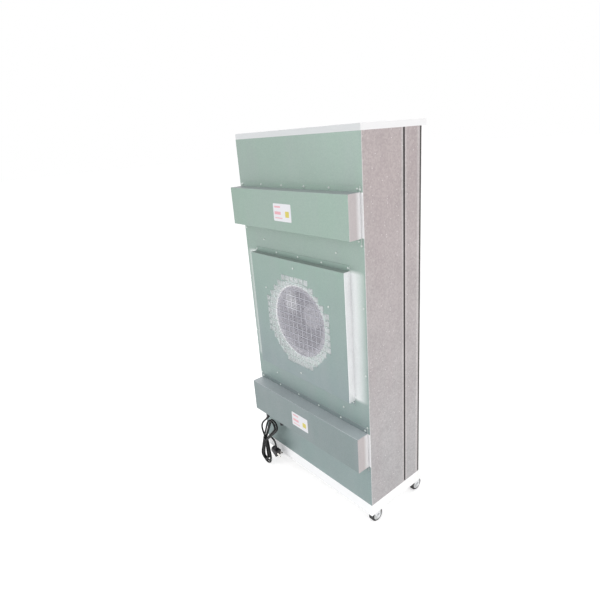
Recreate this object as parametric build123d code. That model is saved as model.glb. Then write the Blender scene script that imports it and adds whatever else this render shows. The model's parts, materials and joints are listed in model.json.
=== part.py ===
from build123d import *
import os
from math import cos, radians, sin, tan

# Fan filter unit on a wheeled stand.
# Millimetres. +Z is up, -Y is the air intake side, +Y is the filtered air outlet side and +X is the
# unit's right side seen from the intake. The origin lies on the floor, under the middle of the box
# round the whole unit.

# ---- driving dimensions -------------------------------------------------------------------------

# Casing, filter and their seals
unit_width = 575.0
unit_height = 1175.0
casing_depth = 169.0
casing_sheet = 1.2
seal_thickness = 5.0
seal_width = 18.0
seal_recess = 1.0
filter_depth = 71.0
filter_lip = 20.0
filter_sheet = 2.0
panel_return = 14.0

# Pleated filter medium and its guard
pleat_pitch = 12.0
pleat_height = 4.0
pack_depth = 56.0
guard_wire = 2.5
guard_columns = 6
guard_rows = 12

# Stand
front_frame_depth = 23.0
front_frame_bar = 30.0
base_height = 44.0
base_sheet = 1.5
cap_height = 18.0
rail_width = 44.0
rail_sheet = 2.0

# Swivel casters
wheel_diameter = 50.0
wheel_width = 22.0
caster_height = 66.0
caster_trail = 16.0
caster_side_inset = 25.0
caster_end_inset = 28.0
rail_rise = 10.0
tyre_thickness = 7.0
tyre_shoulder = 3.0
tyre_inset = 0.5
hub_dish = 3.5
hub_rim = 2.0
hub_boss_radius = 7.0
fork_sheet = 2.5
fork_root_half = 14.0
fork_boss_radius = 9.0
axle_radius = 4.0
axle_head_radius = 6.5
axle_head = 2.5
kingpin_radius = 5.0
race_radius = 17.0
race_thickness = 3.0
stem_radius = 6.0
stem_nut_radius = 10.2
stem_nut_height = 9.0
stem_end = 4.0

# Perforated intake cover
cover_width = 460.0
cover_height = 422.0
cover_depth = 25.0
cover_flange = 16.0
window_pitch = 22.7
window_size = 19.6
window_rows = (6, 8, 10, 12, 14, 14, 14, 14, 14, 14, 12, 10, 8, 6)

# Electrical boxes
box_width = 560.0
box_height = 124.0
box_depth = 47.0
box_offset = 372.5
box_flange = 16.0
fold_radius = 1.5

# Inlet ring, impeller and motor
throat_radius = 103.0
bell_radius = 15.0
inlet_flange_radius = 176.0
inlet_length = 26.0
impeller_radius = 160.0
impeller_start = 30.0
impeller_end = 114.0
shroud_drop = 30.0
shroud_bend = (0.22, 0.62)
eye_radius = 105.0
impeller_sheet = 2.0
blade_root = 0.5
blade_lean = 38.0
blade_count = 7
blade_inner_radius = 112.0
blade_curve_radius = 95.0
blade_thickness = 2.5
rotor_radius = 46.0
rotor_front = 36.0
rotor_wall = 6.0
rotor_flange_radius = 58.0
rotor_flange = 3.0
shaft_radius = 8.0
stator_gap = 2.0
stator_flange_radius = 55.0
stator_flange = 6.0
bridge_height = 120.0
bridge_return = 20.0
bridge_sheet = 2.0

# Parts of the electrical boxes
gland_inset = 67.5
gland_back = 10.0
gland_radius = 9.0
gland_drop = 8.0
gland_stem_radius = 6.0
gland_bevel = 2.5
lock_nut_radius = 8.0
lock_nut_height = 5.0
knob_inset = 152.5
knob_back = 11.0
knob_radius = 8.5
knob_height = 13.0
knob_bevel = 1.0
knob_shaft_radius = 3.0
pointer_width = 2.0
pointer_rise = 1.0
bushing_radius = 4.5
bushing_drop = 3.5
controller_size = (60.0, 34.0, 30.0)
terminal_size = (90.0, 24.0, 22.0)
capacitor_radius = 16.0
capacitor_length = 70.0
capacitor_bevel = 2.0
terminal_poles = 6
terminal_groove = (1.5, 6.0)

# Mains cord, its hank and its plug
cord_diameter = 7.0
hank_thickness = 14.0
hank_bevel = 4.0
neck_radius = 11.0
tie_height = 6.0
tie_wall = 1.2
plug_length = 34.0
plug_width = 26.0
plug_drop = 30.0
plug_taper = 8.0
plug_round = 5.0
plug_neck = 8.0
plug_neck_radius = 8.0
plug_neck_sink = 6.0
plug_tilt = 12.0
blade_pin = (18.0, 1.6, 6.3)
line_pin_lift = 5.0
line_pin_side = 6.5
line_pin_lean = 30.0
earth_pin_drop = 8.0

# Clearances
seat_gap = 0.3
running_gap = 0.05
turning_gap = 1.0
hole_gap = 0.2

# ---- places worked out from the dimensions ------------------------------------------------------

half_width = unit_width / 2
filter_start = casing_depth + seal_thickness
filter_end = filter_start + filter_depth
frame_start = filter_end + seal_thickness
unit_depth = frame_start + front_frame_depth
wheel_radius = wheel_diameter / 2
rear_reach = max(unit_depth, unit_depth - caster_end_inset + caster_trail + wheel_radius)
intake_y = (box_depth - rear_reach) / 2
base_bottom = caster_height - rail_rise
casing_bottom = base_bottom + base_height
casing_top = casing_bottom + unit_height
middle_z = (casing_bottom + casing_top) / 2
fan_centre = Pos(0, intake_y, middle_z)
caster_x = half_width - caster_side_inset
caster_ys = (intake_y + caster_end_inset, intake_y + unit_depth - caster_end_inset)
fork_half = wheel_width / 2 + turning_gap
rotor_end = impeller_end + rotor_flange
stator_end = rotor_end + rotor_flange + stator_flange
lower_box_z = middle_z - box_offset
upper_box_z = middle_z + box_offset
box_floor = lower_box_z - box_height / 2
gland_x = gland_inset - box_width / 2
knob_x = knob_inset - box_width / 2
rim_radius = wheel_radius - tyre_thickness
crown_top = caster_height - race_thickness - seat_gap
cord_radius = cord_diameter / 2


# ---- helpers ------------------------------------------------------------------------------------

def block(low, high):
    """A box between two opposite corners."""
    size = [b - a for a, b in zip(low, high)]
    middle = [(a + b) / 2 for a, b in zip(low, high)]
    return Pos(*middle) * Box(*size)


def slab(width, height, start, end, centre_z=middle_z, centre_x=0.0):
    """An upright slab, centred across the unit, from start to end behind the intake face."""
    low = (centre_x - width / 2, intake_y + start, centre_z - height / 2)
    high = (centre_x + width / 2, intake_y + end, centre_z + height / 2)
    return block(low, high)


def window_frame(width, height, bar, start, end):
    """An upright rectangular ring with bars of one width."""
    return slab(width, height, start, end) - slab(width - 2 * bar, height - 2 * bar, start - 1, end + 1)


def disc(radius, start, end, bore=0.0):
    """A disc or a ring on the fan's axis, from start to end behind the intake face."""
    thickness = end - start
    solid = Rot(-90, 0, 0) * Cylinder(radius, thickness, align=(Align.CENTER, Align.CENTER, Align.MIN))
    if bore:
        solid -= Rot(-90, 0, 0) * Pos(0, 0, thickness / 2) * Cylinder(bore, thickness * 2)
    return fan_centre * Pos(0, start, 0) * solid


def save(name, shape):
    """Write one sub-part to its own STEP file."""
    export_step(shape, f"parts/{name}.step")


# ---- casing -------------------------------------------------------------------------------------

def intake_panel():
    """The flat wall on the intake side, with returns folded in behind it and a hole for the inlet."""
    inner_width = unit_width - 2 * casing_sheet - 2 * seat_gap
    inner_height = unit_height - 2 * casing_sheet - 2 * seat_gap
    panel = slab(unit_width, unit_height, 0, casing_sheet)
    panel += window_frame(inner_width, inner_height, casing_sheet, casing_sheet, panel_return)
    return panel - disc(throat_radius + bell_radius, -1, casing_sheet + 1)


def side_panel(side):
    """A side wall with a lip folded in at the filter end; side is -1 for left and 1 for right."""
    outer = side * half_width
    inner = outer - side * casing_sheet
    lip = outer - side * filter_lip
    wall_end = intake_y + casing_depth
    low = (min(outer, inner), intake_y + casing_sheet, casing_bottom)
    high = (max(outer, inner), wall_end, casing_top)
    lip_low = (min(outer, lip), wall_end - casing_sheet, casing_bottom)
    lip_high = (max(outer, lip), wall_end, casing_top)
    return block(low, high) + block(lip_low, lip_high)


def end_panel(side):
    """The wall that closes the casing at its top (side 1) or at its bottom (side -1)."""
    outer = middle_z + side * unit_height / 2
    inner = outer - side * casing_sheet
    lip = outer - side * filter_lip
    wall_end = intake_y + casing_depth
    reach = half_width - casing_sheet
    lip_reach = half_width - filter_lip
    low = (-reach, intake_y + casing_sheet, min(outer, inner))
    high = (reach, wall_end - casing_sheet, max(outer, inner))
    lip_low = (-lip_reach, wall_end - casing_sheet, min(outer, lip))
    lip_high = (lip_reach, wall_end, max(outer, lip))
    return block(low, high) + block(lip_low, lip_high)


def seal(start):
    """A soft black gasket round the casing, set back a little from the outside."""
    width = unit_width - 2 * seal_recess
    height = unit_height - 2 * seal_recess
    return window_frame(width, height, seal_width, start, start + seal_thickness)


# ---- filter -------------------------------------------------------------------------------------

def filter_frame():
    """The filter's channel frame, open on its inner side, where the medium is potted."""
    frame = window_frame(unit_width, unit_height, filter_lip, filter_start, filter_end)
    channel_width = unit_width - 2 * filter_sheet
    channel_height = unit_height - 2 * filter_sheet
    channel = slab(channel_width, channel_height, filter_start + filter_sheet, filter_end - filter_sheet)
    return frame - channel


def pleat_pack():
    """The folded filter medium, one slab with a ridge for each fold on both faces."""
    width = unit_width - 2 * filter_sheet - 2 * seat_gap
    height = unit_height - 2 * filter_sheet - 2 * seat_gap
    folds = int(height / pleat_pitch)
    pitch = height / folds
    front = intake_y + filter_start + (filter_depth - pack_depth) / 2
    back = front + pack_depth
    bottom = middle_z - height / 2
    front_edge = [(front, bottom)]
    back_edge = [(back, bottom)]
    for fold in range(folds):
        ridge = bottom + (fold + 0.5) * pitch
        valley = bottom + (fold + 1) * pitch
        front_edge += [(front + pleat_height, ridge), (front, valley)]
        back_edge += [(back - pleat_height, ridge), (back, valley)]
    outline = make_face(Polyline(*front_edge, *reversed(back_edge), close=True))
    return Pos(-width / 2, 0, 0) * extrude(Plane.YZ * outline, width)


def face_guard():
    """A welded grid of wires between the medium and the filter frame's outlet lip."""
    width = unit_width - 2 * filter_sheet - 2 * seat_gap
    height = unit_height - 2 * filter_sheet - 2 * seat_gap
    end = filter_end - filter_sheet
    start = end - guard_wire
    guard = window_frame(width, height, filter_lip - filter_sheet, start, end)
    for column in range(1, guard_columns):
        x = width * (column / guard_columns - 0.5)
        guard += slab(guard_wire, height - filter_lip, start, end, centre_x=x)
    for row in range(1, guard_rows):
        z = middle_z + height * (row / guard_rows - 0.5)
        guard += slab(width - filter_lip, guard_wire, start, end, centre_z=z)
    return guard


# ---- stand --------------------------------------------------------------------------------------

def stand_base():
    """The white base, a pan folded down all round, under the casing and the filter."""
    low = (-half_width, intake_y, base_bottom)
    high = (half_width, intake_y + unit_depth, casing_bottom)
    hollow_low = (-half_width + base_sheet, intake_y + base_sheet, base_bottom - 1)
    hollow_high = (half_width - base_sheet, intake_y + unit_depth - base_sheet, casing_bottom - base_sheet)
    pan = block(low, high)
    pan = fillet(pan.edges().filter_by(Axis.Z), fold_radius)
    return pan - block(hollow_low, hollow_high)


def stand_cap():
    """The white cap on top of the casing, folded down to it all round."""
    low = (-half_width, intake_y, casing_top)
    high = (half_width, intake_y + unit_depth, casing_top + cap_height)
    hollow_low = (-half_width + base_sheet, intake_y + base_sheet, casing_top - 1)
    hollow_high = (half_width - base_sheet, intake_y + unit_depth - base_sheet,
                   casing_top + cap_height - base_sheet)
    cap = block(low, high)
    cap = fillet(cap.edges().filter_by(Axis.Z) + cap.faces().sort_by(Axis.Z)[-1].edges(), fold_radius)
    return cap - block(hollow_low, hollow_high)


def front_frame():
    """The white frame round the outlet, which joins the base to the cap and clamps the filter."""
    frame = window_frame(unit_width, unit_height, front_frame_bar, frame_start, unit_depth)
    return fillet(frame.faces().sort_by(Axis.Y)[-1].edges(), fold_radius)


def caster_rail(side):
    """A channel inside the base that carries two casters; side is -1 for left and 1 for right."""
    centre_x = side * caster_x
    start = intake_y + base_sheet + seat_gap
    end = intake_y + unit_depth - base_sheet - seat_gap
    half = rail_width / 2
    top = casing_bottom - base_sheet
    rail = block((centre_x - half, start, caster_height), (centre_x + half, end, top))
    hollow_low = (centre_x - half + rail_sheet, start - 1, caster_height + rail_sheet)
    hollow_high = (centre_x + half - rail_sheet, end + 1, top + 1)
    rail -= block(hollow_low, hollow_high)
    for y in caster_ys:
        rail -= Pos(centre_x, y, caster_height) * Cylinder(stem_radius + hole_gap, 4 * rail_sheet)
    return rail


# ---- casters ------------------------------------------------------------------------------------

def caster_stem():
    """The fixed stem: nut, threaded stem, ball race and the kingpin that the fork turns on."""
    race_bottom = caster_height - race_thickness
    nut_bottom = caster_height + rail_sheet
    nut_top = nut_bottom + stem_nut_height
    race = upright_cylinder(race_radius, race_bottom, caster_height)
    stem = upright_cylinder(stem_radius, race_bottom, nut_top + stem_end)
    nut = extrude(Pos(0, 0, nut_bottom) * RegularPolygon(stem_nut_radius, 6), stem_nut_height)
    kingpin = upright_cylinder(kingpin_radius, race_bottom - 2 * fork_sheet, caster_height)
    return race + stem + nut + kingpin


def upright_cylinder(radius, bottom, top):
    """An upright cylinder between two heights."""
    return Pos(0, 0, (bottom + top) / 2) * Cylinder(radius, top - bottom)


def caster_fork():
    """The pressed fork: a crown under the race and two legs that taper to the axle."""
    crown_bottom = crown_top - fork_sheet
    outer = fork_half + fork_sheet
    crown = block((-outer, -fork_root_half, crown_bottom), (outer, fork_root_half, crown_top))
    crown = chamfer(crown.edges().filter_by(Axis.Z), fork_sheet)
    root = Pos(0, (crown_bottom + crown_top) / 2) * Rectangle(2 * fork_root_half, fork_sheet)
    boss = Pos(caster_trail, wheel_radius) * Circle(fork_boss_radius)
    outline = make_hull(root.edges() + boss.edges())
    leg = extrude(Plane.YZ * outline, fork_sheet)
    fork = crown + Pos(fork_half, 0, 0) * leg + Pos(-outer, 0, 0) * leg
    fork -= upright_cylinder(kingpin_radius + running_gap, crown_bottom - 1, crown_top + 1)
    axle_hole = Rot(0, 90, 0) * Cylinder(axle_radius + running_gap, 4 * wheel_width)
    return fork - Pos(0, caster_trail, wheel_radius) * axle_hole


def caster_axle():
    """The axle bolt, with a low round head outside each leg."""
    outer = fork_half + fork_sheet
    shank = Rot(0, 90, 0) * Cylinder(axle_radius, 2 * outer + 2 * axle_head)
    head = Rot(0, 90, 0) * Cylinder(axle_head_radius, axle_head)
    heads = [Pos(side * (outer + axle_head / 2), 0, 0) * head for side in (-1, 1)]
    axle = shank + heads
    return Pos(0, caster_trail, wheel_radius) * axle


def wheel_hub():
    """The wheel's hard core, dished on both faces, with a boss at the axle."""
    bore = axle_radius + running_gap
    half = wheel_width / 2
    floor = half - hub_dish
    face = [(bore, half), (hub_boss_radius, half), (rim_radius - hub_rim, floor),
            (rim_radius, half - tyre_inset)]
    back = [(radius, -reach) for radius, reach in reversed(face)]
    hub = revolve(make_face(Polyline(*face, *back, close=True)), Axis.Y)
    return Pos(0, caster_trail, wheel_radius) * Rot(0, 0, 90) * hub


def wheel_tyre():
    """The tyre, a ring with sloped shoulders on the hub's rim."""
    width = wheel_width - 2 * tyre_inset
    section = Pos((rim_radius + wheel_radius) / 2, 0) * Rectangle(tyre_thickness, width)
    section = chamfer(section.vertices().group_by(Axis.X)[-1], tyre_shoulder)
    tyre = revolve(section, Axis.Y)
    return Pos(0, caster_trail, wheel_radius) * Rot(0, 0, 90) * tyre


# ---- covers on the intake side ------------------------------------------------------------------

def folded_cover(width, height, depth, flange, centre_z):
    """A shallow pan that opens towards the casing, with a screw flange above and below."""
    pan = slab(width, height, -depth, 0, centre_z)
    pan = fillet(pan.faces().sort_by(Axis.Y)[0].edges(), fold_radius)
    flanges = slab(width, height + 2 * flange, -casing_sheet, 0, centre_z)
    hollow = slab(width - 2 * casing_sheet, height - 2 * casing_sheet, casing_sheet - depth, 1, centre_z)
    return pan + flanges - hollow


def intake_cover():
    """The perforated cover over the fan: square fields of holes in a stepped disc."""
    cover = folded_cover(cover_width, cover_height, cover_depth, cover_flange, middle_z)
    cutter = Box(window_size, 4 * casing_sheet, window_size)
    places = []
    for row, count in enumerate(window_rows):
        z = (row - (len(window_rows) - 1) / 2) * window_pitch
        places += [((column - (count - 1) / 2) * window_pitch, z) for column in range(count)]
    windows = [Pos(x, intake_y - cover_depth, middle_z + z) * cutter for x, z in places]
    return cover - windows


def box_cover(centre_z):
    """One of the two long electrical boxes across the intake side."""
    return folded_cover(box_width, box_height, box_depth, box_flange, centre_z)


def lower_box_cover():
    """The lower box, with holes in its underside for the cord's gland and the speed knob."""
    cover = box_cover(lower_box_z)
    gland_hole = Cylinder(gland_stem_radius + hole_gap, 6 * casing_sheet)
    cover -= Pos(gland_x, intake_y - box_depth + gland_back, box_floor) * gland_hole
    knob_hole = Cylinder(bushing_radius + hole_gap, 6 * casing_sheet)
    return cover - Pos(knob_x, intake_y - box_depth + knob_back, box_floor) * knob_hole


# ---- fan ----------------------------------------------------------------------------------------

def inlet_ring():
    """The spun inlet: a flange on the panel, a rolled bell mouth and a straight throat."""
    crest = throat_radius + bell_radius
    foot = crest + bell_radius
    sheet = casing_sheet
    inner = bell_radius - sheet
    outline = [
        Line((inlet_flange_radius, -sheet), (foot, -sheet)),
        ThreePointArc((foot, -sheet), (crest, -sheet - bell_radius), (throat_radius, -sheet)),
        Line((throat_radius, -sheet), (throat_radius, inlet_length)),
        Line((throat_radius, inlet_length), (throat_radius + sheet, inlet_length)),
        Line((throat_radius + sheet, inlet_length), (crest - inner, -sheet)),
        ThreePointArc((crest - inner, -sheet), (crest, -sheet - inner), (crest + inner, -sheet)),
        Line((crest + inner, -sheet), (crest + inner, 0)),
        Line((crest + inner, 0), (inlet_flange_radius, 0)),
        Line((inlet_flange_radius, 0), (inlet_flange_radius, -sheet)),
    ]
    return fan_centre * revolve(make_face(outline), Axis.Y)


def shroud_line(lift):
    """The shroud's profile, steep at the eye and flat at the rim, moved towards the outlet by lift."""
    across, down = shroud_bend
    eye = impeller_start + lift
    bend = (eye_radius + across * (impeller_radius - eye_radius), eye + down * shroud_drop)
    return Polyline((eye_radius, eye), bend, (impeller_radius, eye + shroud_drop))


def impeller():
    """Backward-curved blades between a flat back plate and a sloped shroud, as one casting."""
    plate_front = impeller_end - impeller_sheet
    front_curve = shroud_line(0)
    back_curve = shroud_line(impeller_sheet)
    shroud_face = make_face([
        front_curve, Line(front_curve @ 1, back_curve @ 1), back_curve,
        Line(back_curve @ 0, front_curve @ 0)])
    shroud = fan_centre * revolve(shroud_face, Axis.Y)
    plate = disc(impeller_radius, plate_front, impeller_end, rotor_radius + seat_gap)
    blade_start = impeller_start + blade_root
    blade_end = plate_front + blade_root
    channel_face = make_face([
        shroud_line(blade_root),
        Polyline((impeller_radius, blade_start + shroud_drop), (impeller_radius, blade_end),
                 (eye_radius, blade_end), (eye_radius, blade_start))])
    channel = fan_centre * revolve(channel_face, Axis.Y)
    blades = [fan_centre * Rot(0, 360 * number / blade_count, 0) * blade_prism()
              for number in range(blade_count)]
    casting = shroud + plate
    for blade in blades:
        casting += blade & channel
    return casting


def blade_prism():
    """One blade, curved back from its inner to its outer radius, as a straight prism."""
    lean = radians(blade_lean)
    tip = (impeller_radius * sin(lean), impeller_radius * cos(lean))
    root = (0.0, blade_inner_radius)
    curve = RadiusArc(root, tip, blade_curve_radius)
    section = Plane.XZ * trace(curve, blade_thickness)
    return extrude(section, -impeller_end)


def motor_rotor():
    """The motor's turning can: closed front, a flange for the impeller and a fixed shaft."""
    inner = rotor_radius - rotor_wall
    can = disc(rotor_radius, rotor_front, rotor_end)
    can = chamfer(can.faces().sort_by(Axis.Y)[0].edges(), rotor_wall)
    can -= disc(inner, rotor_front + rotor_wall, rotor_end + 1)
    flange = disc(rotor_flange_radius, impeller_end, rotor_end, inner)
    shaft = disc(shaft_radius, rotor_front + rotor_wall / 2, stator_end - rotor_flange)
    return can + flange + shaft


def motor_stator():
    """The motor's fixed core, with the shaft's bearing bore and a mounting flange."""
    core_radius = rotor_radius - rotor_wall - stator_gap
    core_start = rotor_front + rotor_wall + stator_gap
    flange_start = stator_end - stator_flange
    core = disc(core_radius, core_start, stator_end)
    flange = disc(stator_flange_radius, flange_start, stator_end)
    return core + flange - disc(shaft_radius + running_gap, core_start - 1, stator_end + 1)


def motor_bridge():
    """The folded beam across the casing that carries the motor."""
    width = unit_width - 2 * casing_sheet
    end = stator_end + bridge_return
    beam = slab(width, bridge_height, stator_end, end)
    hollow_width = width - 2 * bridge_sheet
    hollow_height = bridge_height - 2 * bridge_sheet
    return beam - slab(hollow_width, hollow_height, stator_end + bridge_sheet, end + 1)


# ---- parts of the electrical boxes --------------------------------------------------------------

def cord_gland():
    """The cord's gland: lock nut inside the box, stem through its floor and a round nut below."""
    lock_top = casing_sheet + lock_nut_height
    nut = upright_cylinder(gland_radius, -gland_drop, 0)
    nut = chamfer(nut.faces().sort_by(Axis.Z)[0].edges(), gland_bevel)
    stem = upright_cylinder(gland_stem_radius, 0, lock_top)
    lock = extrude(Pos(0, 0, casing_sheet) * RegularPolygon(lock_nut_radius, 6), lock_nut_height)
    place = Pos(gland_x, intake_y - box_depth + gland_back, box_floor)
    return place * (nut + stem + lock)


def speed_controller():
    """The speed controller on the box's floor, with the bushing that holds the knob's shaft."""
    length, depth, height = controller_size
    body = block((-length / 2, -knob_back + 2 * casing_sheet, casing_sheet),
                 (length / 2, depth - knob_back, height + casing_sheet))
    bushing = upright_cylinder(bushing_radius, -bushing_drop, casing_sheet + 1)
    bore = upright_cylinder(knob_shaft_radius + running_gap, -bushing_drop - 1, height / 2)
    place = Pos(knob_x, intake_y - box_depth + knob_back, box_floor)
    return place * (body + bushing - bore)


def speed_knob():
    """The round speed knob under the box, with its shaft and a raised pointer."""
    grip_top = -turning_gap
    grip = upright_cylinder(knob_radius, grip_top - knob_height, grip_top)
    grip = chamfer(grip.faces().sort_by(Axis.Z)[0].edges(), knob_bevel)
    socket = upright_cylinder(bushing_radius + turning_gap, -bushing_drop - turning_gap, 1)
    pointer_bottom = grip_top - knob_height + knob_bevel
    pointer = block((-pointer_width / 2, -knob_radius - pointer_rise, pointer_bottom),
                    (pointer_width / 2, pointer_width - knob_radius, grip_top - knob_bevel))
    shaft_top = controller_size[2] / 2 - turning_gap
    shaft = upright_cylinder(knob_shaft_radius, -bushing_drop - 2 * turning_gap, shaft_top)
    place = Pos(knob_x, intake_y - box_depth + knob_back, box_floor)
    return place * (grip - socket + pointer + shaft)


def terminal_block():
    """The row of terminals in the upper box, on the casing's intake panel."""
    length, depth, height = terminal_size
    body = slab(length, height, -depth, 0, upper_box_z)
    groove_width, groove_depth = terminal_groove
    groove = slab(groove_width, height + 2, -depth - 1, groove_depth - depth, upper_box_z)
    for pole in range(1, terminal_poles):
        body -= Pos(length * (pole / terminal_poles - 0.5), 0, 0) * groove
    return body


def run_capacitor():
    """The motor's round capacitor, lying in the upper box against the intake panel."""
    centre_x = terminal_size[0] + capacitor_length
    can = Rot(0, 90, 0) * Cylinder(capacitor_radius, capacitor_length)
    can = chamfer(can.edges().filter_by(GeomType.CIRCLE), capacitor_bevel)
    return Pos(centre_x, intake_y - capacitor_radius, upper_box_z) * can


# ---- mains cord ---------------------------------------------------------------------------------

# The cord's points are stated from the left end of the box's floor and from the intake face.
cord_zero = (-half_width, intake_y, casing_bottom)
supply_points = [
    (75.0, -37.0, 144.0), (64.0, -37.5, 126.0), (40.0, -38.5, 104.0), (20.5, -39.5, 80.0),
    (19.5, -40.0, 55.0), (33.0, -40.0, 31.5)]
plug_points = [
    (50.8, -40.0, 26.7), (62.2, -39.5, 40.6), (78.6, -38.5, 43.9), (93.4, -37.0, 36.3),
    (100.0, -36.0, 21.0), (99.0, -35.5, 8.8)]
upper_lobe = ((42.5, 29.0), (105.0, 111.0), 27.0)
lower_lobe = ((36.0, 10.0), (35.0, -59.0), 35.5)
hank_y = -40.0


def cord_path(points):
    """Straight runs joined by tangent arcs, each as large as its two runs allow."""
    corners = [Vector(*point) + Vector(*cord_zero) for point in points]
    radii = []
    for before, corner, after in zip(corners, corners[1:], corners[2:]):
        first = corner - before
        second = after - corner
        half_turn = radians(first.get_angle(second)) / 2
        radii.append(0.45 * min(first.length, second.length) / tan(half_turn))
    print("cord radii", [round(radius, 1) for radius in radii])
    return FilletPolyline(*corners, radius=radii)


def cord_tube(points):
    """A plain tube of the cord's diameter along a path."""
    path = cord_path(points)
    section = Plane(path @ 0, z_dir=path % 0) * Circle(cord_radius)
    tube = sweep(section, path)
    print("tube volume", round(tube.volume), "section x length", round(section.area * path.length))
    return tube


def hank_lobe(lobe):
    """The outline of one lobe of the hank, from its neck to its rounded end."""
    neck, end, radius = lobe
    neck_circle = Pos(*neck) * Circle(neck_radius)
    end_circle = Pos(*end) * Circle(radius)
    return make_hull(neck_circle.edges() + end_circle.edges())


def cord_hank():
    """The tied hank as one closed body: two lobes and the neck between them."""
    upper_neck = Pos(*upper_lobe[0]) * Circle(neck_radius)
    lower_neck = Pos(*lower_lobe[0]) * Circle(neck_radius)
    neck = make_hull(upper_neck.edges() + lower_neck.edges())
    outline = hank_lobe(upper_lobe) + neck + hank_lobe(lower_lobe)
    body = extrude(Plane.XZ * outline, hank_thickness / 2, both=True)
    rims = body.faces().sort_by(Axis.Y)[0].edges() + body.faces().sort_by(Axis.Y)[-1].edges()
    body = chamfer(rims, hank_bevel)
    return Pos(cord_zero[0], cord_zero[1] + hank_y, cord_zero[2]) * body


def cord_tie():
    """The band round the hank's neck."""
    (x1, z1), (x2, z2) = lower_lobe[0], upper_lobe[0]
    neck_lean = Vector(x2 - x1, 0, z2 - z1).get_angle(Vector(0, 0, 1))
    inner = Rectangle(2 * (neck_radius + seat_gap), hank_thickness + 2 * seat_gap)
    inner = chamfer(inner.vertices(), hank_bevel)
    outer = offset(inner, tie_wall, kind=Kind.INTERSECTION)
    band = extrude(outer - inner, tie_height / 2, both=True)
    middle = Pos((x1 + x2) / 2, hank_y, (z1 + z2) / 2)
    return Pos(*cord_zero) * middle * Rot(0, neck_lean, 0) * band


def plug_place():
    """Where the cord enters the plug, with the plug's own tilt."""
    entry = Vector(*plug_points[-1]) + Vector(*cord_zero)
    return Pos(*entry) * Rot(0, plug_tilt, 0)


def plug_body():
    """The moulded angled plug: a tapered body under a ribbed neck for the cord."""
    face_x = plug_length / 2
    top = -plug_neck
    back = Plane(origin=(-face_x, 0, top - plug_drop / 2), x_dir=(0, 1, 0), z_dir=(1, 0, 0))
    front = Plane(origin=(face_x, 0, top - plug_drop / 2), x_dir=(0, 1, 0), z_dir=(1, 0, 0))
    small = back * RectangleRounded(plug_width - plug_taper, plug_drop - plug_taper, plug_round)
    large = front * RectangleRounded(plug_width, plug_drop, plug_round)
    body = loft([small, large])
    neck_height = plug_neck + plug_neck_sink
    base_up = (Align.CENTER, Align.CENTER, Align.MIN)
    neck = Cone(plug_neck_radius, cord_radius + tie_wall, neck_height, align=base_up)
    return plug_place() * (body + Pos(0, 0, top - plug_neck_sink) * neck)


def plug_pins():
    """The plug's three flat metal blades."""
    length, thick, wide = blade_pin
    start = plug_length / 2
    middle = -plug_neck - plug_drop / 2
    blade = Box(length, thick, wide, align=(Align.MIN, Align.CENTER, Align.CENTER))
    pins = [Pos(start, 0, middle - earth_pin_drop) * blade]
    for side in (-1, 1):
        turned = Rot(side * line_pin_lean, 0, 0) * blade
        pins.append(Pos(start, side * line_pin_side, middle + line_pin_lift) * turned)
    return plug_place() * Compound(pins)


# ---- build --------------------------------------------------------------------------------------

def main():
    os.makedirs("parts", exist_ok=True)
    save("intake_panel", intake_panel())
    for side, word in ((-1, "left"), (1, "right")):
        save(f"{word}_side_panel", side_panel(side))
        save(f"caster_rail_{word}", caster_rail(side))
    save("top_end_panel", end_panel(1))
    save("bottom_end_panel", end_panel(-1))
    save("casing_seal", seal(casing_depth))
    save("outlet_seal", seal(filter_end))
    save("filter_frame", filter_frame())
    save("filter_pleat_pack", pleat_pack())
    save("face_guard", face_guard())
    save("stand_base", stand_base())
    save("stand_cap", stand_cap())
    save("stand_front_frame", front_frame())
    save("intake_cover", intake_cover())
    save("upper_box_cover", box_cover(upper_box_z))
    save("lower_box_cover", lower_box_cover())
    save("inlet_ring", inlet_ring())
    save("impeller", impeller())
    save("motor_rotor", motor_rotor())
    save("motor_stator", motor_stator())
    save("motor_bridge", motor_bridge())
    save("cord_gland", cord_gland())
    save("speed_controller", speed_controller())
    save("speed_knob", speed_knob())
    save("terminal_block", terminal_block())
    save("run_capacitor", run_capacitor())
    save("supply_cord", cord_tube(supply_points))
    save("plug_cord", cord_tube(plug_points))
    save("cord_hank", cord_hank())
    save("cord_tie", cord_tie())
    save("plug_body", plug_body())
    save("plug_pins", plug_pins())
    pieces = {"stem": caster_stem(), "fork": caster_fork(), "axle": caster_axle(),
              "hub": wheel_hub(), "tyre": wheel_tyre()}
    for x, side_word in ((-caster_x, "left"), (caster_x, "right")):
        for y, end_word in zip(caster_ys, ("intake", "outlet")):
            for piece, shape in pieces.items():
                save(f"caster_{piece}_{end_word}_{side_word}", Pos(x, y, 0) * shape)


main()
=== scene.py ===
"""Fan filter unit on a wheeled stand: finishes, fine perforation, fasteners, mains cord and studio."""

import json
import logging
import math
from dataclasses import dataclass, field
from itertools import product
from typing import Iterable

import bmesh
import bpy
from mathutils import Matrix, Vector


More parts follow.
